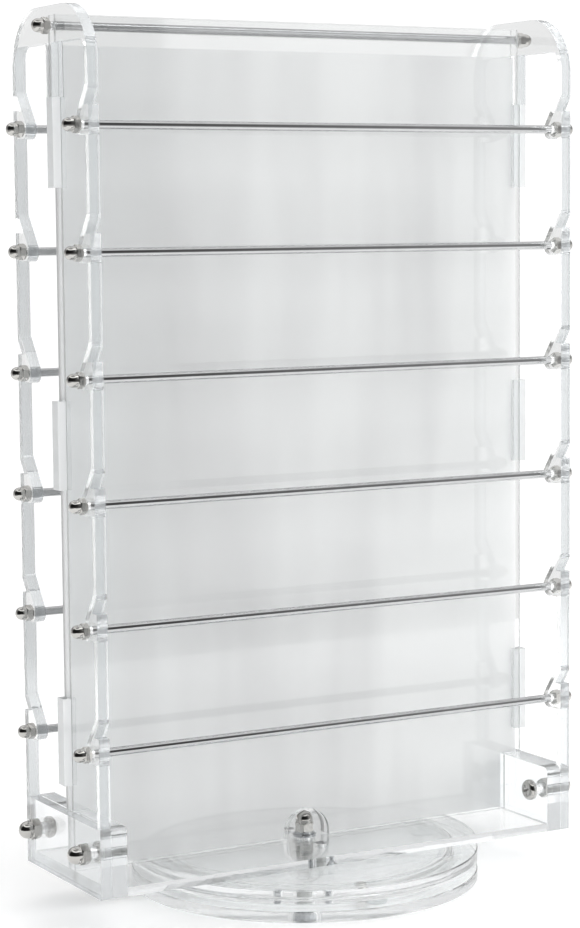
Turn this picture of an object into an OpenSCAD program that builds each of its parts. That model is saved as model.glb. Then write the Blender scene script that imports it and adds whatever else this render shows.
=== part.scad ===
// Rotating counter-top eyeglass display rack: a two-sided acrylic stand with
// chrome rods, bolted to a clear tray that turns on a ball-bearing base.
// Origin: centre of the base on the surface it stands on. X runs along the
// rods, the front faces -Y and +Z is up. All sizes are in millimetres.

/* [Base] */
// Diameter of both round base discs
disc_d = 255; // [220:1:300]
// Thickness of the fixed lower disc
base_disc_t = 8; // [8:0.5:14]
// Thickness of the turning upper disc
turn_disc_t = 10; // [8:0.5:10]
// Gap between the two discs
disc_gap = 5.3; // [4.6:0.1:6]
// Height of the rubber feet
foot_h = 2; // [1.5:0.5:6]
// Diameter of each rubber foot
foot_d = 16; // [10:1:24]
// Number of rubber feet
foot_count = 4; // [3:1:8]
// Diameter of the bearing balls
ball_d = 8; // [7:0.5:9]
// Diameter of the circle that the balls run on
race_d = 214; // [160:1:230]
// Number of bearing balls
ball_count = 5; // [3:1:12]

/* [Tray] */
// Thickness of the tray floor
floor_t = 6.5; // [4:0.5:10]
// Height of the tray end walls above the underside of the tray
tray_wall_h = 48.5; // [44:0.5:60]
// Thickness of the tray end walls
tray_wall_t = 12; // [6:0.5:14]
// Radius of the end walls' upper corners
tray_corner_r = 4; // [1:0.5:10]
// Height of the tray bolts above the underside of the tray
tray_bolt_z = 28.1; // [20:0.1:34]
// Distance between the two tray bolts of one end
tray_bolt_pitch = 83.4; // [60:0.2:96]

/* [Side frames] */
// Width over the outer faces of the two side frames
frame_span = 388; // [300:1:500]
// Depth of the side frames, front to rear
frame_depth = 125; // [115:1:150]
// Height of the side frames
frame_h = 604.5; // [600:0.5:640]
// Thickness of the side frames
frame_t = 8; // [6:0.5:8]
// Radius of the two top corners
top_r = 41; // [25:1:50]
// Width of the upright strips
strip_w = 5; // [4:0.5:9]
// Height of the top edge of the window
window_top = 579.5; // [575:0.5:584]
// Height of the bottom edge of the window
window_bottom = 48; // [40:1:50]
// Radius of the window corners
window_r = 8; // [4:1:15]
// Width of the tongue that hangs from the arch
tongue_w = 10; // [6:0.5:12]

/* [Hooks] */
// Depth of the notch above each rod
notch_depth = 7; // [4:0.5:9]
// Height of the notch floor above the rod
notch_low = 13; // [10:0.5:16]
// Height of the notch mouth above the rod
notch_high = 23; // [19:0.5:28]
// Height at which the diagonal strip starts, above the rod
diagonal_top = 26; // [24:0.5:32]
// Radius of the round lobe at each rod
lobe_r = 7; // [5.5:0.5:9]
// Height of the shoulder below each rod
shoulder_drop = 6.5; // [2:0.5:7]

/* [Rods] */
// Number of rods on each side
rod_count = 6; // [2:1:6]
// Vertical distance between the rods
rod_pitch = 85; // [60:1:85]
// Height of the lowest rod above the underside of the tray
rod_first_z = 98; // [80:1:100]
// Distance between the front and the rear rods
rod_column_pitch = 94.6; // [90:0.2:100]
// Height of the top rod above the underside of the tray
top_rod_z = 591; // [588:0.5:594]
// Diameter of the rods
rod_d = 6; // [5.5:0.1:6]

/* [Panel] */
// Thickness of each clear sheet
sheet_t = 3; // [2:0.5:4]
// Gap between the two clear sheets
sheet_gap = 6.4; // [6.4:0.1:8]
// Height of the top edge of the clear sheets
sheet_top = 598.5; // [596:0.5:600]
// Thickness of the frosted insert
insert_t = 2; // [1:0.5:4]
// Height of the top edge of the frosted insert
insert_top = 578; // [560:1:586]
// Width of the sheets and the insert between the tray and the tongues
panel_w = 376; // [360:1:384]
// Half width of the cut-out over the pivot nut
cutout_r = 17.5; // [14:0.5:22]
// Height of the centre of the cut-out's arch
cutout_z = 10; // [7:0.5:16]
// Height of each end plate
plate_h = 61.5; // [40:0.5:80]
// Depth of each end plate
plate_depth = 10; // [7:0.5:12]
// Distance between the end plates
plate_pitch = 207; // [150:1:210]
// Height of the lowest end plate's centre
plate_first_z = 98.3; // [85:0.1:105]

/* [Hidden] */
$fn = 48;
eps = 0.01;
overlap = 1;

// heights above the ground
lower_disc_z = foot_h;
upper_disc_z = foot_h + base_disc_t + disc_gap;
tray_z = upper_disc_z + turn_disc_t;
floor_top_z = tray_z + floor_t;

// planes across the rack
outer_x = frame_span / 2;
inner_x = outer_x - frame_t;
wall_x = inner_x - tray_wall_t;
half_depth = frame_depth / 2;
rod_y = rod_column_pitch / 2;
bolt_y = tray_bolt_pitch / 2;
rod_inset = half_depth - rod_y;

// clearances
hole_play = 0.1;
rod_play = 0.15;
thread_play = 0.05;
run_play = 0.05;
thrust_play = 0.1;
race_play = 0.3;

// assembly gaps between glued or bolted clear parts, and under nuts, washers and feet
joint_gap = 0.1;
seat_gap = 0.05;

// M6 acorn nuts on the rods
m6_flats = 10;
m6_hex_h = 5;
m6_dome_r = 4.75;
m6_total_h = 12;
m6_grip = 9;

// M8 acorn nuts on the tray bolts and the pivot
m8_flats = 13;
m8_hex_h = 6.5;
m8_dome_r = 6.25;
m8_total_h = 15;
m8_grip = 11;
m8_d = 8;

// tray bolt hardware, measured inwards from the end wall
bolt_play = 0.25;
head_d = 15.5;
head_t = 5;
head_round = 3.4;
cross_w = 1.7;
cross_len = 8;
cross_deep = 2.6;

// pivot hardware
pivot_head_flats = 13;
pivot_head_h = 5.3;
pivot_pocket_d = 18;
pivot_pocket_h = 5.5;
spacer_d = 22;
flat_washer_d = 17;
flat_washer_t = 1.6;
lock_washer_d = 14;
lock_washer_t = 2;
lock_washer_slot = 1.2;
bush_d = 12;

// turntable screws, with the first millimetres of the shank inside the head
screw_d = 5;
screw_head_d = 9.5;
screw_head_h = 2.6;
screw_len = 16;
screw_y = 25;
screw_cross_w = 1.1;
screw_cross_len = 5;
screw_cross_deep = 1.6;

// ball race and cage
groove_r = ball_d / 2 + race_play;
ball_z = lower_disc_z + base_disc_t + disc_gap / 2;
cage_t = 2.5;
cage_w = 16;
cage_play = 0.35;
cage_pocket_d = ball_d + 2 * cage_play;
ball_start = 262;

// small chamfers and end clearances
edge_chamfer = 0.8;
foot_chamfer = 0.6;
hex_chamfer_h = 0.6;
hex_chamfer_w = 0.1;
rod_chamfer = 0.5;
thread_end_gap = 1;

// distance of the feet inside the ball circle
foot_inset = 5;

// turns given to parts that were tightened by hand
cross_turn = 20;
lock_washer_turn = 25;

// length of the end plates' keys between the sheets
key_len = 4;

function rod_z(i) = tray_z + rod_first_z + i * rod_pitch;
function plate_z(i) = tray_z + plate_first_z + i * plate_pitch;

// ---------- shared shapes ----------

// turns a shape drawn along +Z so that it runs along +X (side = 1) or -X
module along_x(side) {
    rotate([0, 90 * side, 0]) children();
}

// a disc with small chamfers on both rims
module chamfered_disc(d, t, chamfer) {
    rotate_extrude($fn = 128)
        polygon([
            [0, 0], [d / 2 - chamfer, 0], [d / 2, chamfer],
            [d / 2, t - chamfer], [d / 2 - chamfer, t], [0, t]
        ]);
}

// a hexagon across two flats, with its corners rounded off by a cone at the top
module hex_body(flats, h) {
    corner_r = flats / 2 / cos(30);
    intersection() {
        cylinder(r = corner_r, h = h, $fn = 6);
        rotate_extrude($fn = 48)
            polygon([
                [0, 0], [flats / 2 + hex_chamfer_w, 0], [corner_r, hex_chamfer_h],
                [corner_r, h - hex_chamfer_h], [flats / 2 - hex_chamfer_w, h], [0, h]
            ]);
    }
}

// domed cap nut standing on its open face, with a blind bore
module acorn_nut(flats, hex_h, dome_r, total_h, grip, bore_d) {
    difference() {
        union() {
            hex_body(flats, hex_h);
            rotate_extrude($fn = 48)
                difference() {
                    union() {
                        square([dome_r, total_h - dome_r]);
                        translate([0, total_h - dome_r]) circle(r = dome_r);
                    }
                    translate([-2 * dome_r, -dome_r]) square([2 * dome_r, total_h + 2 * dome_r]);
                    translate([-dome_r, -2 * dome_r]) square([3 * dome_r, 2 * dome_r]);
                }
        }
        translate([0, 0, -overlap]) cylinder(d = bore_d, h = grip + overlap, $fn = 32);
    }
}

// cross-shaped driver recess that opens upwards at z = 0
module cross_recess(w, len, deep) {
    for (a = [0, 90])
        rotate([0, 0, a])
            translate([-len / 2, -w / 2, -deep]) cube([len, w, deep + overlap]);
}

// positions of all the rods that pass through one side frame
module at_rods() {
    for (i = [0 : rod_count - 1], s = [-1, 1])
        translate([0, s * rod_y, rod_z(i)]) children();
}

module at_tray_bolts() {
    for (side = [-1, 1], s = [-1, 1])
        translate([side * wall_x, s * bolt_y, tray_z + tray_bolt_z]) along_x(-side) children();
}

module at_turntable_screws() {
    for (s = [-1, 1])
        translate([0, s * screw_y, floor_top_z]) children();
}

// ---------- base ----------

module ball_groove(z) {
    translate([0, 0, z])
        rotate_extrude($fn = 128) translate([race_d / 2, 0]) circle(r = groove_r, $fn = 48);
}

module base_disc() {
    color([0.86, 0.9, 0.9, 0.4])
        difference() {
            translate([0, 0, lower_disc_z]) chamfered_disc(disc_d, base_disc_t, edge_chamfer);
            ball_groove(ball_z);
            translate([0, 0, lower_disc_z - overlap])
                cylinder(d = pivot_pocket_d, h = pivot_pocket_h + overlap);
            translate([0, 0, lower_disc_z - overlap])
                cylinder(d = m8_d + 2 * hole_play, h = base_disc_t + 2 * overlap);
        }
}

module feet() {
    color([0.75, 0.77, 0.78])
        for (i = [0 : foot_count - 1])
            rotate([0, 0, i * 360 / foot_count])
                translate([race_d / 2 - foot_inset, 0, 0])
                    rotate_extrude($fn = 48)
                        polygon([
                            [0, 0], [foot_d / 2 - foot_chamfer, 0], [foot_d / 2, foot_chamfer],
                            [foot_d / 2, foot_h - seat_gap], [0, foot_h - seat_gap]
                        ]);
}

// heights in the pivot stack above the tray floor
washer_z = floor_top_z + thrust_play;
lock_z = washer_z + flat_washer_t;
nut_z = lock_z + lock_washer_t;
bolt_head_z = lower_disc_z + pivot_pocket_h - pivot_head_h - seat_gap;

module pivot_bolt() {
    color([0.78, 0.79, 0.8])
        union() {
            translate([0, 0, bolt_head_z]) hex_body(pivot_head_flats, pivot_head_h);
            translate([0, 0, bolt_head_z + pivot_head_h - eps])
                cylinder(d = m8_d, h = nut_z + m8_grip - thread_end_gap - bolt_head_z - pivot_head_h);
        }
}

// carries the pivot bolt's clamping force across the gap between the discs
module thrust_spacer() {
    color([0.92, 0.92, 0.9])
        translate([0, 0, lower_disc_z + base_disc_t + seat_gap])
            difference() {
                cylinder(d = spacer_d, h = disc_gap - thrust_play - seat_gap);
                translate([0, 0, -overlap])
                    cylinder(d = m8_d + 2 * hole_play, h = disc_gap + 2 * overlap);
            }
}

module pivot_flat_washer() {
    color([0.8, 0.81, 0.82])
        translate([0, 0, washer_z])
            difference() {
                cylinder(d = flat_washer_d, h = flat_washer_t);
                translate([0, 0, -overlap])
                    cylinder(d = m8_d + 2 * hole_play, h = flat_washer_t + 2 * overlap);
            }
}

module pivot_lock_washer() {
    color([0.7, 0.71, 0.72])
        translate([0, 0, lock_z])
            difference() {
                cylinder(d = lock_washer_d, h = lock_washer_t);
                translate([0, 0, -overlap])
                    cylinder(d = m8_d + 2 * hole_play, h = lock_washer_t + 2 * overlap);
                rotate([0, 0, lock_washer_turn])
                    translate([0, -lock_washer_slot / 2, -overlap])
                        cube([lock_washer_d, lock_washer_slot, lock_washer_t + 2 * overlap]);
            }
}

module pivot_nut() {
    color([0.82, 0.83, 0.84])
        translate([0, 0, nut_z])
            acorn_nut(m8_flats, m8_hex_h, m8_dome_r, m8_total_h, m8_grip, m8_d + 2 * thread_play);
}

module ball_cage() {
    color([0.85, 0.88, 0.88, 0.5])
        translate([0, 0, ball_z - cage_t / 2])
            difference() {
                cylinder(d = race_d + cage_w, h = cage_t, $fn = 128);
                translate([0, 0, -overlap])
                    cylinder(d = race_d - cage_w, h = cage_t + 2 * overlap, $fn = 128);
                for (i = [0 : ball_count - 1])
                    rotate([0, 0, ball_start + i * 360 / ball_count])
                        translate([race_d / 2, 0, -overlap])
                            cylinder(d = cage_pocket_d, h = cage_t + 2 * overlap);
            }
}

module bearing_balls() {
    color([0.75, 0.76, 0.77])
        for (i = [0 : ball_count - 1])
            rotate([0, 0, ball_start + i * 360 / ball_count])
                translate([race_d / 2, 0, ball_z]) sphere(d = ball_d, $fn = 48);
}

// ---------- turntable ----------

module turntable_disc() {
    color([0.86, 0.9, 0.9, 0.4])
        difference() {
            translate([0, 0, upper_disc_z])
                chamfered_disc(disc_d, turn_disc_t - joint_gap, edge_chamfer);
            ball_groove(ball_z);
            translate([0, 0, upper_disc_z - overlap])
                cylinder(d = bush_d + 2 * thread_play, h = turn_disc_t + 2 * overlap);
            at_turntable_screws()
                translate([0, 0, -turn_disc_t - floor_t - overlap])
                    cylinder(d = screw_d + 2 * thread_play, h = turn_disc_t + floor_t);
        }
}

// sleeve that lines the turning parts around the pivot bolt
module pivot_bush() {
    color([0.92, 0.92, 0.9])
        translate([0, 0, upper_disc_z])
            difference() {
                cylinder(d = bush_d, h = turn_disc_t + floor_t);
                translate([0, 0, -overlap])
                    cylinder(d = m8_d + 2 * run_play, h = turn_disc_t + floor_t + 2 * overlap);
            }
}

module turntable_screws() {
    color([0.72, 0.73, 0.74])
        at_turntable_screws()
            difference() {
                union() {
                    translate([0, 0, -screw_head_h])
                        cylinder(d1 = screw_d, d2 = screw_head_d, h = screw_head_h);
                    translate([0, 0, -screw_len])
                        cylinder(d = screw_d, h = screw_len - screw_head_h + overlap);
                }
                cross_recess(screw_cross_w, screw_cross_len, screw_cross_deep);
            }
}

// ---------- tray ----------

module tray_floor() {
    color([0.88, 0.91, 0.92, 0.4])
        difference() {
            translate([joint_gap - wall_x, -half_depth, tray_z])
                cube([2 * (wall_x - joint_gap), frame_depth, floor_t]);
            translate([0, 0, tray_z - overlap])
                cylinder(d = bush_d + 2 * thread_play, h = floor_t + 2 * overlap);
            at_turntable_screws() {
                translate([0, 0, -screw_head_h])
                    cylinder(d1 = screw_d + 2 * thread_play, d2 = screw_head_d + 2 * thread_play,
                             h = screw_head_h);
                translate([0, 0, -screw_len]) cylinder(d = screw_d + 2 * thread_play, h = screw_len);
                translate([0, 0, -eps]) cylinder(d = screw_head_d + 2 * thread_play, h = overlap);
            }
        }
}

// one end wall of the tray, drawn as its outline in the YZ plane
module tray_end(side) {
    r = tray_corner_r;
    color([0.88, 0.91, 0.92, 0.4])
        difference() {
            translate([side > 0 ? wall_x : joint_gap - inner_x, 0, tray_z])
                rotate([90, 0, 90])
                    linear_extrude(tray_wall_t - joint_gap)
                        union() {
                            translate([-half_depth, 0])
                                square([frame_depth, tray_wall_h - r]);
                            translate([r - half_depth, 0])
                                square([frame_depth - 2 * r, tray_wall_h]);
                            for (s = [-1, 1])
                                translate([s * (half_depth - r), tray_wall_h - r]) circle(r = r);
                        }
            at_tray_bolts()
                translate([0, 0, -tray_wall_t - overlap])
                    cylinder(d = m8_d + 2 * bolt_play, h = tray_wall_t + 2 * overlap);
        }
}

// ---------- side frames ----------

// outside of a side frame, before the notches are cut
module frame_outline() {
    translate([-half_depth, 0]) square([frame_depth, frame_h - top_r]);
    translate([top_r - half_depth, 0]) square([frame_depth - 2 * top_r, frame_h]);
    for (s = [-1, 1])
        translate([s * (half_depth - top_r), frame_h - top_r]) circle(r = top_r, $fn = 96);
}

// the open window, before the hooks are added back
module window_outline() {
    w = frame_depth - 2 * strip_w;
    translate([-w / 2, window_bottom]) square([w, window_top - window_bottom - window_r]);
    translate([window_r - w / 2, window_bottom])
        square([w - 2 * window_r, window_top - window_bottom]);
    for (s = [-1, 1])
        translate([s * (w / 2 - window_r), window_top - window_r]) circle(r = window_r);
}

// material of one hook inside the window; u runs inwards from the outer edge
module hook_infill() {
    reach = rod_inset - strip_w;
    // direction from the lobe's centre to where the diagonal strip touches the lobe
    tangent = 180 - atan2(diagonal_top, reach) - acos(lobe_r / norm([reach, diagonal_top]));
    polygon([
        [strip_w - 1, diagonal_top], [strip_w, diagonal_top],
        [rod_inset + lobe_r * cos(tangent), lobe_r * sin(tangent)],
        [rod_inset, -shoulder_drop], [strip_w - 1, -shoulder_drop]
    ]);
    translate([rod_inset, 0]) circle(r = lobe_r);
}

// the wedge cut from the outer edge above one rod
module hook_notch() {
    slope = notch_depth / (notch_high - notch_low);
    polygon([
        [-overlap, notch_low], [notch_depth, notch_low],
        [0, notch_high], [-overlap, notch_high + overlap / slope]
    ]);
}

module at_hooks() {
    for (i = [0 : rod_count - 1]) {
        translate([-half_depth, rod_first_z + i * rod_pitch]) children();
        translate([half_depth, rod_first_z + i * rod_pitch]) mirror([1, 0]) children();
    }
}

module frame_profile() {
    tongue_bottom = plate_first_z + 2 * plate_pitch + plate_h / 2 + joint_gap;
    difference() {
        frame_outline();
        difference() {
            window_outline();
            at_hooks() hook_infill();
            translate([-tongue_w / 2, tongue_bottom])
                square([tongue_w, window_top - tongue_bottom + overlap]);
        }
        at_hooks() hook_notch();
        at_hooks() translate([rod_inset, 0]) circle(d = rod_d + 2 * rod_play);
        translate([0, top_rod_z]) circle(d = rod_d + 2 * rod_play);
        for (s = [-1, 1])
            translate([s * bolt_y, tray_bolt_z]) circle(d = m8_d + 2 * bolt_play);
    }
}

module side_frame(side) {
    color([0.88, 0.91, 0.92, 0.4])
        translate([side > 0 ? inner_x : -outer_x, 0, tray_z])
            rotate([90, 0, 90]) linear_extrude(frame_t) frame_profile();
}

// ---------- panel ----------

// front view of a sheet: narrower between the tray's end walls and between the frames' arches,
// with the cut-out over the pivot
module sheet_profile(top) {
    middle_top = plate_z(2) - tray_z + plate_h / 2;
    difference() {
        union() {
            translate([joint_gap - wall_x, floor_t + joint_gap])
                square([2 * (wall_x - joint_gap), top - floor_t - joint_gap]);
            translate([joint_gap - inner_x, tray_wall_h + joint_gap])
                square([2 * (inner_x - joint_gap), top - tray_wall_h - joint_gap]);
            translate([-panel_w / 2, tray_wall_h + joint_gap])
                square([panel_w, middle_top - tray_wall_h - joint_gap]);
        }
        translate([0, cutout_z]) circle(r = cutout_r, $fn = 64);
        translate([-cutout_r, floor_t - overlap]) square([2 * cutout_r, cutout_z - floor_t + overlap]);
    }
}

// stands a front view up with its near face at y
module stand_sheet(y, t) {
    translate([0, y + t, tray_z]) rotate([90, 0, 0]) linear_extrude(t) children();
}

module front_sheet() {
    color([0.9, 0.93, 0.94, 0.35])
        stand_sheet(-sheet_gap / 2 - sheet_t, sheet_t) sheet_profile(sheet_top);
}

module rear_sheet() {
    color([0.9, 0.93, 0.94, 0.35])
        stand_sheet(sheet_gap / 2, sheet_t) sheet_profile(sheet_top);
}

module frosted_insert() {
    color([0.93, 0.94, 0.95])
        stand_sheet(sheet_gap / 2 - insert_t - joint_gap, insert_t) sheet_profile(insert_top);
}

// three plates that close the panel's end, each with a key between the sheets
module end_plates(side) {
    plate_x = max(inner_x, panel_w / 2) + joint_gap;
    key_t = sheet_gap - insert_t - 3 * joint_gap;
    color([0.8, 0.84, 0.85, 0.5])
        for (i = [0 : 2]) {
            translate([side > 0 ? plate_x : -outer_x, -plate_depth / 2, plate_z(i) - plate_h / 2])
                cube([outer_x - plate_x, plate_depth, plate_h]);
            translate([side > 0 ? plate_x - key_len : -plate_x - eps, joint_gap - sheet_gap / 2,
                       plate_z(i) - plate_h / 2])
                cube([key_len + eps, key_t, plate_h]);
        }
}

// ---------- rods ----------

rod_end_x = outer_x + m6_grip - thread_end_gap;

module rod_bar() {
    translate([-rod_end_x, 0, 0])
        rotate([0, 90, 0])
            rotate_extrude($fn = 48)
                polygon([
                    [0, 0], [rod_d / 2 - rod_chamfer, 0], [rod_d / 2, rod_chamfer],
                    [rod_d / 2, 2 * rod_end_x - rod_chamfer], [rod_d / 2 - rod_chamfer, 2 * rod_end_x],
                    [0, 2 * rod_end_x]
                ]);
}

// rod number i (from the bottom) on the front (s = -1) or the rear (s = 1)
module rod(s, i) {
    color([0.8, 0.81, 0.82]) translate([0, s * rod_y, rod_z(i)]) rod_bar();
}

module top_rod() {
    color([0.8, 0.81, 0.82]) translate([0, 0, tray_z + top_rod_z]) rod_bar();
}

module rod_nuts(side) {
    color([0.8, 0.81, 0.82]) {
        at_rods() translate([side * (outer_x + seat_gap), 0, 0]) along_x(side) m6_acorn();
        translate([side * (outer_x + seat_gap), 0, tray_z + top_rod_z]) along_x(side) m6_acorn();
    }
}

module m6_acorn() {
    acorn_nut(m6_flats, m6_hex_h, m6_dome_r, m6_total_h, m6_grip, rod_d + 2 * thread_play);
}

// ---------- tray hardware ----------

module tray_screws() {
    head_z = seat_gap;
    shank = head_z + tray_wall_t + frame_t + m8_grip - thread_end_gap;
    color([0.8, 0.81, 0.82])
        at_tray_bolts()
            difference() {
                union() {
                    translate([0, 0, head_z - shank]) cylinder(d = m8_d, h = shank + eps);
                    translate([0, 0, head_z])
                        rotate_extrude($fn = 48)
                            intersection() {
                                square([head_d / 2, head_t]);
                                union() {
                                    square([head_d / 2, head_t - head_round]);
                                    square([head_d / 2 - head_round, head_t]);
                                    translate([head_d / 2 - head_round, head_t - head_round])
                                        circle(r = head_round);
                                }
                            }
                }
                translate([0, 0, head_z + head_t])
                    rotate([0, 0, cross_turn]) cross_recess(cross_w, cross_len, cross_deep);
            }
}

module tray_nuts() {
    color([0.8, 0.81, 0.82])
        at_tray_bolts()
            translate([0, 0, -tray_wall_t - frame_t - seat_gap])
                mirror([0, 0, 1])
                    acorn_nut(m8_flats, m8_hex_h, m8_dome_r, m8_total_h, m8_grip,
                              m8_d + 2 * thread_play);
}

// ---------- the object ----------

base_disc();
feet();
pivot_bolt();
thrust_spacer();
pivot_flat_washer();
pivot_lock_washer();
pivot_nut();
ball_cage();
bearing_balls();
turntable_disc();
pivot_bush();
turntable_screws();
tray_floor();
tray_end(-1);  // tray_end_left
tray_end(1);  // tray_end_right
side_frame(-1);  // side_frame_left
side_frame(1);  // side_frame_right
front_sheet();
rear_sheet();
frosted_insert();
end_plates(-1);  // end_plates_left
end_plates(1);  // end_plates_right
for (i = [0 : rod_count - 1]) {
    rod(-1, i);
    rod(1, i);
}
top_rod();
rod_nuts(-1);  // rod_nuts_left
rod_nuts(1);  // rod_nuts_right
tray_screws();
tray_nuts();
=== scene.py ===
import bpy
import bmesh
import math
from mathutils import Matrix, Vector


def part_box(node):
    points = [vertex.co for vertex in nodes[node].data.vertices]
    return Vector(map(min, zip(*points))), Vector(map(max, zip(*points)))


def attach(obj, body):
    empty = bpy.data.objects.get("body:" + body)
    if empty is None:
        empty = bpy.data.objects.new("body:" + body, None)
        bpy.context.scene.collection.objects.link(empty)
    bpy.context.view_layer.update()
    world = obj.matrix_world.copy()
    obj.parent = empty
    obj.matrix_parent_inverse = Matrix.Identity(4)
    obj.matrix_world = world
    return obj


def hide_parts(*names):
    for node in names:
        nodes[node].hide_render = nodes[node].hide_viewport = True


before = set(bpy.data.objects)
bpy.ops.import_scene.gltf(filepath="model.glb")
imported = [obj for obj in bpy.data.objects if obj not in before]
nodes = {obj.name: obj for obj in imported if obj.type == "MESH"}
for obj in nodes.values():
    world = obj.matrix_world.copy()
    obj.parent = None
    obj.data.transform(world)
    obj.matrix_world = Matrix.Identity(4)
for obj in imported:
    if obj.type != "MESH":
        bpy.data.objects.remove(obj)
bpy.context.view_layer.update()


# ---------- node trees ----------

class Tree:
    """Short calls for building the node tree of a material or of the world."""

    def __init__(self, owner, output):
        owner.use_nodes = True
        self.tree = owner.node_tree
        self.tree.nodes.clear()
        self.out = self.new(output)
        self.co = self.new("ShaderNodeTexCoord")

    def new(self, kind, **values):
        node = self.tree.nodes.new(kind)
        for key, value in values.items():
            setattr(node, key, value)
        return node

    def link(self, a, b):
        self.tree.links.new(a, b)

    def split(self, vector):
        """The X, Y and Z of a vector, as a node with outputs."""
        node = self.new("ShaderNodeSeparateXYZ")
        self.link(vector, node.inputs[0])
        return node

    def ramp(self, fac, stops):
        """A colour ramp. Each stop is a place and either a grey level or a colour."""
        node = self.new("ShaderNodeValToRGB")
        elements = node.color_ramp.elements
        while len(elements) < len(stops):
            elements.new(0.5)
        for element, (place, colour) in zip(elements, stops):
            element.position = place
            grey = isinstance(colour, (int, float))
            element.color = (colour, colour, colour, 1) if grey else (*colour, 1)
        self.link(fac, node.inputs["Fac"])
        return node.outputs["Color"]

    def range(self, fac, lo, hi, to_lo=0.0, to_hi=1.0):
        node = self.new("ShaderNodeMapRange")
        for slot, value in enumerate((lo, hi, to_lo, to_hi), start=1):
            node.inputs[slot].default_value = value
        self.link(fac, node.inputs[0])
        return node.outputs[0]

    def mix(self, fac, a, b, **values):
        """Mixes two colours, each a tuple or a socket. Without fac the whole of b goes in."""
        node = self.new("ShaderNodeMix", data_type="RGBA", **values)
        if fac is None:
            node.inputs["Factor"].default_value = 1.0
        else:
            self.link(fac, node.inputs["Factor"])
        for slot, value in ((6, a), (7, b)):
            if isinstance(value, tuple):
                node.inputs[slot].default_value = (*value, 1)
            else:
                self.link(value, node.inputs[slot])
        return node.outputs[2]

    def shader_mix(self, fac, a, b):
        node = self.new("ShaderNodeMixShader")
        for slot, socket in enumerate((fac, a, b)):
            self.link(socket, node.inputs[slot])
        return node.outputs[0]


class Material(Tree):
    """The tree of one material."""

    def __init__(self, name):
        self.mat = bpy.data.materials.new(name)
        super().__init__(self.mat, "ShaderNodeOutputMaterial")

    def noise(self, scale, detail, rough, stretch=(1, 1, 1), distortion=0.0):
        place = self.new("ShaderNodeMapping")
        place.inputs["Scale"].default_value = stretch
        self.link(self.co.outputs["Object"], place.inputs["Vector"])
        node = self.new("ShaderNodeTexNoise")
        node.inputs["Scale"].default_value = scale
        node.inputs["Detail"].default_value = detail
        node.inputs["Roughness"].default_value = rough
        node.inputs["Distortion"].default_value = distortion
        self.link(place.outputs["Vector"], node.inputs["Vector"])
        return node.outputs["Fac"]

    def math(self, op, *sockets):
        node = self.new("ShaderNodeMath", operation=op)
        for slot, socket in enumerate(sockets):
            self.link(socket, node.inputs[slot])
        return node.outputs[0]

    def bump(self, height, strength, distance):
        node = self.new("ShaderNodeBump")
        node.inputs["Strength"].default_value = strength
        node.inputs["Distance"].default_value = distance
        self.link(height, node.inputs["Height"])
        return node.outputs["Normal"]

    def edge(self, radius):
        """1 on sharp edges, 0 on flat faces."""
        bevel = self.new("ShaderNodeBevel", samples=4)
        bevel.inputs["Radius"].default_value = radius
        geometry = self.new("ShaderNodeNewGeometry")
        dot = self.new("ShaderNodeVectorMath", operation="DOT_PRODUCT")
        self.link(bevel.outputs[0], dot.inputs[0])
        self.link(geometry.outputs["Normal"], dot.inputs[1])
        return self.range(dot.outputs["Value"], 0.995, 0.85)

    def principled(self, **values):
        node = self.new("ShaderNodeBsdfPrincipled")
        for key, value in values.items():
            socket = node.inputs[key.replace("_", " ")]
            if isinstance(value, (int, float)):
                socket.default_value = value
            elif isinstance(value, tuple):
                socket.default_value = (*value, 1)
            else:
                self.link(value, socket)
        return node.outputs[0]

    def finish(self, shader):
        self.link(shader, self.out.inputs["Surface"])
        return self.mat


# ---------- materials ----------

ACRYLIC_IOR = 1.49
TINT = (0.97, 0.976, 0.976)
FLAT_TINT = (0.98, 0.985, 0.986)
TRAY_TINT = (0.945, 0.955, 0.965)
EDGE = (0.80, 0.82, 0.83)
FLAT_EDGE = (0.88, 0.895, 0.9)
SHEET_EDGE = (0.88, 0.89, 0.895)
SMEAR_SHADE = 0.985
X, Y, Z = range(3)
PANEL_SIDES = (-0.19, 0.19)
PANEL_ENDS = (0.03, 0.58)
WORN_EDGE = 0.0004


def clear_acrylic(name, tint, edge_tint, axis, satin=0.18, cut_rough=(0.08, 0.2), rough=0.03):
    """Polished sheet: clear faces, and satin cut edges, which are those whose normals lie across axis."""
    n = Material(name)
    along = n.math("ABSOLUTE", n.split(n.co.outputs["Normal"]).outputs[axis])
    cut = n.range(along, 0.95, 0.5)
    smears = n.noise(scale=14, detail=4, rough=0.6, distortion=0.6)
    grain = (0.05, 0.05, 1) if axis == Z else (1, 1, 0.06)
    saw = n.noise(scale=900, detail=2, rough=0.5, stretch=grain)
    shade = n.ramp(smears, [(0.3, tuple(c * SMEAR_SHADE for c in tint)), (0.7, tint)])
    colour = n.mix(cut, shade, edge_tint)
    roughness = n.new("ShaderNodeMix", data_type="FLOAT")
    n.link(cut, roughness.inputs[0])
    n.link(n.range(smears, 0.35, 0.75, rough * 0.5, rough * 2.2), roughness.inputs[2])
    n.link(n.range(saw, 0.3, 0.7, *cut_rough), roughness.inputs[3])
    solid = n.principled(Base_Color=colour, Roughness=roughness.outputs[0], IOR=ACRYLIC_IOR,
                         Transmission_Weight=n.range(cut, 0.0, 1.0, 1.0, 1.0 - satin),
                         Normal=n.bump(n.math("MULTIPLY", saw, cut), 0.15, 0.0002))
    shadow = n.new("ShaderNodeBsdfTransparent")
    n.link(colour, shadow.inputs["Color"])
    path = n.new("ShaderNodeLightPath")
    return n.finish(n.shader_mix(path.outputs["Is Shadow Ray"], solid, shadow.outputs[0]))


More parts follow.
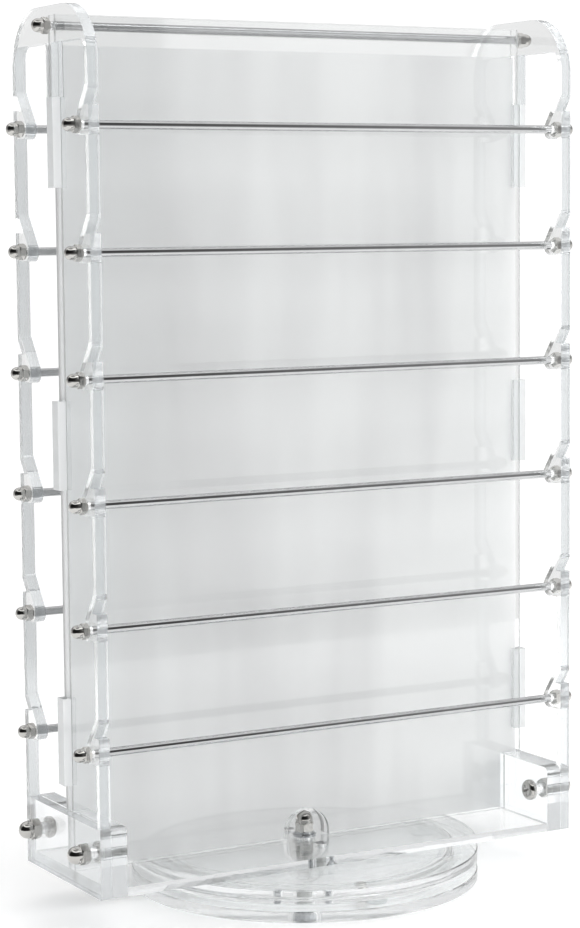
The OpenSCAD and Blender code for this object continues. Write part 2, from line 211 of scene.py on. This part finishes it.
def milky_acrylic():
    """The panel's diffusing insert, faintly clouded, with painted light: its colour is drawn lighter to the
    right and towards the bottom.
    """
    n = Material("milky_sheet")
    cloud = n.noise(scale=5, detail=3, rough=0.5, stretch=(2.4, 1, 0.35))
    fine = n.noise(scale=260, detail=2, rough=0.5)
    place = n.split(n.co.outputs["Object"])
    # painted light: the insert's colour ramps from darker at the left to lighter at the right
    painted_light_across = n.ramp(n.range(place.outputs["X"], *PANEL_SIDES),
                   [(0.0, (0.80, 0.81, 0.815)), (0.35, (0.87, 0.873, 0.875)), (1.0, (0.93, 0.932, 0.93))])
    clouds_and_painted_light = n.mix(n.range(cloud, 0.36, 0.56), (0.76, 0.76, 0.765), painted_light_across)
    # painted light: the colour is scaled up towards the bottom of the panel and down towards the top
    colour = n.new("ShaderNodeVectorMath", operation="SCALE")
    n.link(clouds_and_painted_light, colour.inputs[0])
    n.link(n.range(place.outputs["Z"], *PANEL_ENDS, 1.06, 0.93), colour.inputs["Scale"])
    return n.finish(n.principled(Base_Color=colour.outputs[0], Roughness=n.range(fine, 0.3, 0.7, 0.42, 0.56),
                                 Normal=n.bump(fine, 0.08, 0.0001)))


def chrome(name, tone, streak, rough=(0.05, 0.13)):
    """Bright plating with fine turning lines, drawn out by streak."""
    n = Material(name)
    lines = n.noise(scale=500, detail=3, rough=0.6, stretch=streak)
    cloud = n.noise(scale=60, detail=3, rough=0.6)
    colour = n.ramp(cloud, [(0.3, tuple(c * 0.9 for c in tone)), (0.7, tone)])
    colour = n.mix(n.edge(WORN_EDGE), colour, tuple(min(1.0, c * 1.12) for c in tone))
    return n.finish(n.principled(Base_Color=colour, Metallic=1.0, Roughness=n.range(lines, 0.3, 0.7, *rough),
                                 Normal=n.bump(lines, 0.06, 0.00005)))


def zinc():
    n = Material("zinc_steel")
    cloud = n.noise(scale=180, detail=4, rough=0.65)
    colour = n.ramp(cloud, [(0.3, (0.47, 0.48, 0.49)), (0.7, (0.62, 0.63, 0.65))])
    colour = n.mix(n.edge(WORN_EDGE), colour, (0.8, 0.81, 0.82))
    return n.finish(n.principled(Base_Color=colour, Metallic=1.0, Roughness=n.range(cloud, 0.3, 0.7, 0.2, 0.36),
                                 Normal=n.bump(cloud, 0.05, 0.0001)))


def moulded(name, scale, dark, light, rough, strength):
    """Nylon or rubber: a soft mottle in colour, gloss and height."""
    n = Material(name)
    cloud = n.noise(scale=scale, detail=3, rough=0.5)
    return n.finish(n.principled(Base_Color=n.ramp(cloud, [(0.3, dark), (0.7, light)]),
                                 Roughness=n.range(cloud, 0.3, 0.7, *rough),
                                 Normal=n.bump(cloud, strength, 0.0002)))


acrylic_side = clear_acrylic("acrylic_side", TINT, EDGE, X)
acrylic_tray = clear_acrylic("acrylic_tray", TRAY_TINT, EDGE, X, 0.04, (0.004, 0.02), 0.015)
acrylic_sheet = clear_acrylic("acrylic_sheet", TINT, SHEET_EDGE, Y, 0.55)
acrylic_flat = clear_acrylic("acrylic_flat", FLAT_TINT, FLAT_EDGE, Z, 0.04, (0.006, 0.03), 0.015)
acrylic_plate = clear_acrylic("acrylic_plate", TINT, SHEET_EDGE, Z, 0.6)
rod_chrome = chrome("chrome_rod", (0.53, 0.535, 0.54), (0.02, 1, 1))
nut_chrome = chrome("chrome_nut", (0.56, 0.55, 0.53), (1, 1, 1), (0.03, 0.09))
# painted shade: the top rod is the same chrome as the other rods, drawn darker because it lies between the
# clear sheets, which show it a lighter room than the other rods mirror
top_rod_painted_dark_chrome = chrome("chrome_top_rod_painted_dark", (0.36, 0.365, 0.37), (0.02, 1, 1))
steel = zinc()
nylon = moulded("white_nylon", 120, (0.82, 0.82, 0.79), (0.9, 0.9, 0.88), (0.35, 0.5), 0.08)
rubber = moulded("clear_rubber", 200, (0.6, 0.63, 0.64), (0.7, 0.72, 0.73), (0.4, 0.6), 0.1)

# the rods, front and rear, have no entry and get rod_chrome
MATERIALS = {
    "base_disc": acrylic_flat, "turntable_disc": acrylic_flat, "tray_floor": acrylic_flat,
    "ball_cage": acrylic_flat, "tray_end_left": acrylic_tray, "tray_end_right": acrylic_tray,
    "side_frame_left": acrylic_side, "side_frame_right": acrylic_side,
    "end_plates_left": acrylic_plate, "end_plates_right": acrylic_plate,
    "front_sheet": acrylic_sheet, "rear_sheet": acrylic_sheet, "frosted_insert": milky_acrylic(),
    "feet": rubber, "thrust_spacer": nylon, "pivot_bush": nylon,
    "pivot_bolt": steel, "pivot_flat_washer": steel, "pivot_lock_washer": steel, "turntable_screws": steel,
    "pivot_nut": nut_chrome, "rod_nuts_left": nut_chrome, "rod_nuts_right": nut_chrome,
    "tray_nuts": nut_chrome, "tray_screws": nut_chrome, "bearing_balls": nut_chrome,
    "top_rod": top_rod_painted_dark_chrome,
}
for name, obj in nodes.items():
    obj.data.materials.clear()
    obj.data.materials.append(MATERIALS.get(name, rod_chrome))


# ---------- threaded bolts ----------

THREAD_SIDES = 28
RINGS_PER_TURN = 6
FEWEST_RINGS = 8
THREAD_DEPTH = 0.55
TIP_SLOPE = 0.8
WELD = 1e-6
SHARP_ANGLE = math.radians(35)


def threaded_shaft(bm, start, direction, length, radius, pitch, plain_neck, tip):
    """Adds a closed shaft with a helical V thread to bm, running from start along direction. Metres."""
    d = Vector(direction).normalized()
    side = d.orthogonal().normalized()
    other = d.cross(side)
    count = max(FEWEST_RINGS, int(round(length / pitch * RINGS_PER_TURN)))
    depth = pitch * THREAD_DEPTH
    rings = []
    for j in range(count + 1):
        t = length * j / count
        ring = []
        for i in range(THREAD_SIDES):
            a = 2 * math.pi * i / THREAD_SIDES
            phase = (t / pitch - i / THREAD_SIDES) % 1.0
            cut = 0.0 if t < plain_neck else depth * (1.0 - abs(2.0 * phase - 1.0))
            r = radius - cut
            if t > length - tip:
                r = min(r, radius - (t - (length - tip)) * TIP_SLOPE)
            ring.append(bm.verts.new(Vector(start) + d * t + (side * math.cos(a) + other * math.sin(a)) * r))
        rings.append(ring)
    for low, high in zip(rings, rings[1:]):
        for i in range(THREAD_SIDES):
            k = (i + 1) % THREAD_SIDES
            bm.faces.new((low[i], low[k], high[k], high[i]))
    bm.faces.new(list(reversed(rings[0])))
    bm.faces.new(rings[-1])


def threaded_copy(node, name, body, shafts, keep):
    """Stands for a CAD node: its heads as packed, its plain shanks changed for threaded ones."""
    bm = bmesh.new()
    bm.from_mesh(nodes[node].data)
    bmesh.ops.remove_doubles(bm, verts=bm.verts, dist=WELD)
    bmesh.ops.delete(bm, geom=[v for v in bm.verts if not keep(v.co)], context="VERTS")
    bmesh.ops.holes_fill(bm, edges=[e for e in bm.edges if e.is_boundary], sides=0)
    for shaft in shafts:
        threaded_shaft(bm, **shaft)
    bmesh.ops.recalc_face_normals(bm, faces=bm.faces)
    mesh = bpy.data.meshes.new(name)
    bm.to_mesh(mesh)
    bm.free()
    obj = bpy.data.objects.new(name, mesh)
    bpy.context.scene.collection.objects.link(obj)
    for poly in mesh.polygons:
        poly.use_smooth = True
    mesh.set_sharp_from_angle(angle=SHARP_ANGLE)
    mesh.materials.append(MATERIALS[node])
    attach(obj, body)
    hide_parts(node)


# M8 tray bolts along X, their heads against the inner faces of the tray end walls
BOLT = {"radius": 0.004, "pitch": 0.00125, "plain_neck": 0.0015, "tip": 0.0012}
BOLT_HEAD_R = 0.00775
BOLT_INTO_HEAD = 0.0008
BOLT_SHANK_ZONE = 0.0042
ON_WALL = 0.00001
lo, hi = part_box("tray_screws")
bolt_y = hi[1] - BOLT_HEAD_R
bolt_z = (lo[2] + hi[2]) / 2
wall_in = -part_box("tray_end_left")[1][0]
bolt_len = hi[0] - wall_in + BOLT_INTO_HEAD
shafts = [{"start": (sx * (wall_in - BOLT_INTO_HEAD), sy * bolt_y, bolt_z), "direction": (sx, 0, 0),
           "length": bolt_len, **BOLT} for sx in (-1, 1) for sy in (-1, 1)]


def in_bolt_head(c):
    off_axis = (abs(c.y) - bolt_y) ** 2 + (c.z - bolt_z) ** 2
    return abs(c.x) < wall_in - ON_WALL or off_axis > BOLT_SHANK_ZONE ** 2


threaded_copy("tray_screws", "tray_bolts_threaded", "rack", shafts, in_bolt_head)

# countersunk turntable screws, pointing down
SCREW = {"radius": 0.0025, "pitch": 0.0008, "plain_neck": 0.0010, "tip": 0.0006}
SCREW_HEAD_R = 0.00475
SCREW_HEAD_DEPTH = 0.0027
SCREW_START = 0.0020
SCREW_SHANK_ZONE = 0.0026
lo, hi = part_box("turntable_screws")
screw_y = hi[1] - SCREW_HEAD_R
screw_top = hi[2]
shafts = [{"start": (0, sy * screw_y, screw_top - SCREW_START), "direction": (0, 0, -1),
           "length": screw_top - SCREW_START - lo[2], **SCREW} for sy in (-1, 1)]


def in_screw_head(c):
    off_axis = c.x ** 2 + (abs(c.y) - screw_y) ** 2
    return c.z > screw_top - SCREW_HEAD_DEPTH or off_axis > SCREW_SHANK_ZONE ** 2


threaded_copy("turntable_screws", "turntable_screws_threaded", "rack", shafts, in_screw_head)


# ---------- small edge rounds on the sawn acrylic parts ----------

EDGE_ROUND = 0.00025
SAWN = (acrylic_side, acrylic_sheet, acrylic_tray, acrylic_plate)
for name, obj in nodes.items():
    if MATERIALS.get(name) in SAWN or name in ("tray_floor", "frosted_insert"):
        bevel = obj.modifiers.new("edge_round", "BEVEL")
        bevel.width = EDGE_ROUND
        bevel.segments = 2
        bevel.limit_method = "ANGLE"
        bevel.angle_limit = math.radians(40)
        bevel.use_clamp_overlap = True


# ---------- studio ----------

scene = bpy.context.scene
scene.view_settings.view_transform = "Standard"
scene.view_settings.look = "None"
# light that is caught inside a clear plate turns round many times before it comes out again
BOUNCES = 32
for limit in ("max_bounces", "glossy_bounces", "transmission_bounces", "transparent_max_bounces"):
    setattr(scene.cycles, limit, BOUNCES)


class Room(Tree):
    """The tree of the world."""

    def light(self, colour, strength=1.0):
        """Light of a colour, a tuple or a socket, from all round."""
        node = self.new("ShaderNodeBackground")
        node.inputs["Strength"].default_value = strength
        if isinstance(colour, tuple):
            node.inputs["Color"].default_value = (*colour, 1)
        else:
            self.link(colour, node.inputs["Color"])
        return node.outputs[0]

    def towards(self, direction):
        """How far the looked-at part of the room lies towards direction."""
        node = self.new("ShaderNodeVectorMath", operation="DOT_PRODUCT")
        node.inputs[1].default_value = direction
        self.link(self.co.outputs["Generated"], node.inputs[0])
        return node.outputs["Value"]


world = bpy.data.worlds.new("studio")
scene.world = world
room = Room(world, "ShaderNodeOutputWorld")
looked_at = room.split(room.co.outputs["Generated"])
height = room.range(looked_at.outputs["Z"], -1.0, 1.0)
fronting = room.range(looked_at.outputs["Y"], 0.15, -0.25)
from_right = room.range(looked_at.outputs["X"], -0.6, 0.6)
dark_side = room.range(room.towards((0.6, 0.8, 0.0)), 0.1, -0.3)

# what metal and polished faces mirror: a room that is dark in front and to the left, with a lamp row above, and
# lighter behind and to the right
dim = room.ramp(from_right, [(0.0, 0.015), (0.55, 0.03), (0.86, 0.1), (0.98, 0.38)])
over_dim = room.ramp(height, [(0.0, 0.8), (0.3, 0.5), (0.4, 0.2), (0.46, 0.0), (0.86, 0.0), (0.89, 1.7),
                              (0.93, 1.7), (0.95, 0.12), (1.0, 0.3)])
front_room = room.mix(None, dim, over_dim, blend_type="ADD")
back_room = room.ramp(height, [(0.0, 0.95), (0.52, 0.95), (0.57, 0.4), (0.75, 0.35), (0.8, 1.0), (1.0, 1.0)])
mirrored = room.light(room.mix(dark_side, back_room, front_room))

# what is seen through clear parts: white, a little greyer towards the front and the top
behind = room.ramp(height, [(0.0, 0.96), (0.5, 0.86), (1.0, 0.8)])
before = room.ramp(height, [(0.0, 0.8), (0.5, 0.62), (0.8, 0.85), (1.0, 0.9)])
through = room.light(room.mix(fronting, behind, before))

# what lights dull surfaces: more from the right than from the left, and most from behind at the right
lit_behind = room.ramp(from_right, [(0.0, 0.5), (1.0, 1.4)])
lit_before = room.ramp(from_right, [(0.0, 0.4), (1.0, 1.0)])
lit = room.light(room.mix(fronting, lit_behind, lit_before), 1.28)

plain = room.light((1, 1, 1), 1.12)
path = room.new("ShaderNodeLightPath")
# a refracted ray counts as glossy too, so transmission is asked last and decides
seen = room.shader_mix(path.outputs["Is Camera Ray"], lit, plain)
seen = room.shader_mix(path.outputs["Is Glossy Ray"], seen, mirrored)
seen = room.shader_mix(path.outputs["Is Transmission Ray"], seen, through)
room.link(seen, room.out.inputs["Surface"])


def pale_floor():
    n = Material("pale_floor")
    cloud = n.noise(scale=3, detail=2, rough=0.5)
    return n.finish(n.principled(Base_Color=n.ramp(cloud, [(0.3, 0.93), (0.7, 0.95)]), Roughness=0.6,
                                 Emission_Color=(1.0, 1.0, 1.0), Emission_Strength=0.1))


FLOOR_SIZE = 1.8
FLOOR_DROP = 0.0001
bpy.ops.mesh.primitive_plane_add(size=FLOOR_SIZE, location=(0, 0, -FLOOR_DROP))
floor = bpy.context.object
floor.name = "floor"
floor.data.materials.append(pale_floor())


def softbox(name, place, aim, size, watts):
    """A rectangular area light that metal does not mirror."""
    light = bpy.data.lights.new(name, "AREA")
    light.shape = "RECTANGLE"
    light.size, light.size_y = size
    light.energy = watts
    obj = bpy.data.objects.new(name, light)
    scene.collection.objects.link(obj)
    obj.location = place
    obj.rotation_euler = (Vector(aim) - Vector(place)).to_track_quat("-Z", "Y").to_euler()
    obj.visible_glossy = False


softbox("top_softbox", place=(0.5, -1.1, 2.4), aim=(0, 0, 0.3), size=(2.2, 1.2), watts=20)
softbox("right_softbox", place=(1.3, -1.5, 0.5), aim=(0.05, 0, 0.3), size=(1.2, 1.2), watts=5.5)


# ---------- camera at the photograph's viewing angle ----------

CAMERA_PLACE = (-0.8888, -1.5712, 0.4858)
YAW, PITCH, ROLL = math.radians(29.24), math.radians(5.65), math.radians(-0.52)
LENS = 96.8
SENSOR = 36
forward = Vector((math.sin(YAW) * math.cos(PITCH), math.cos(YAW) * math.cos(PITCH), -math.sin(PITCH)))
level_right = Vector((math.cos(YAW), -math.sin(YAW), 0))
level_up = level_right.cross(forward)
right = math.cos(ROLL) * level_right + math.sin(ROLL) * level_up
up = -math.sin(ROLL) * level_right + math.cos(ROLL) * level_up
cam = bpy.data.cameras.new("camera")
cam.lens = LENS
cam.sensor_width = SENSOR
cam.sensor_fit = "AUTO"
cam_obj = bpy.data.objects.new("camera", cam)
scene.collection.objects.link(cam_obj)
turn = Matrix((right, up, -forward)).transposed().to_4x4()
turn.translation = Vector(CAMERA_PLACE)
cam_obj.matrix_world = turn
scene.camera = cam_obj
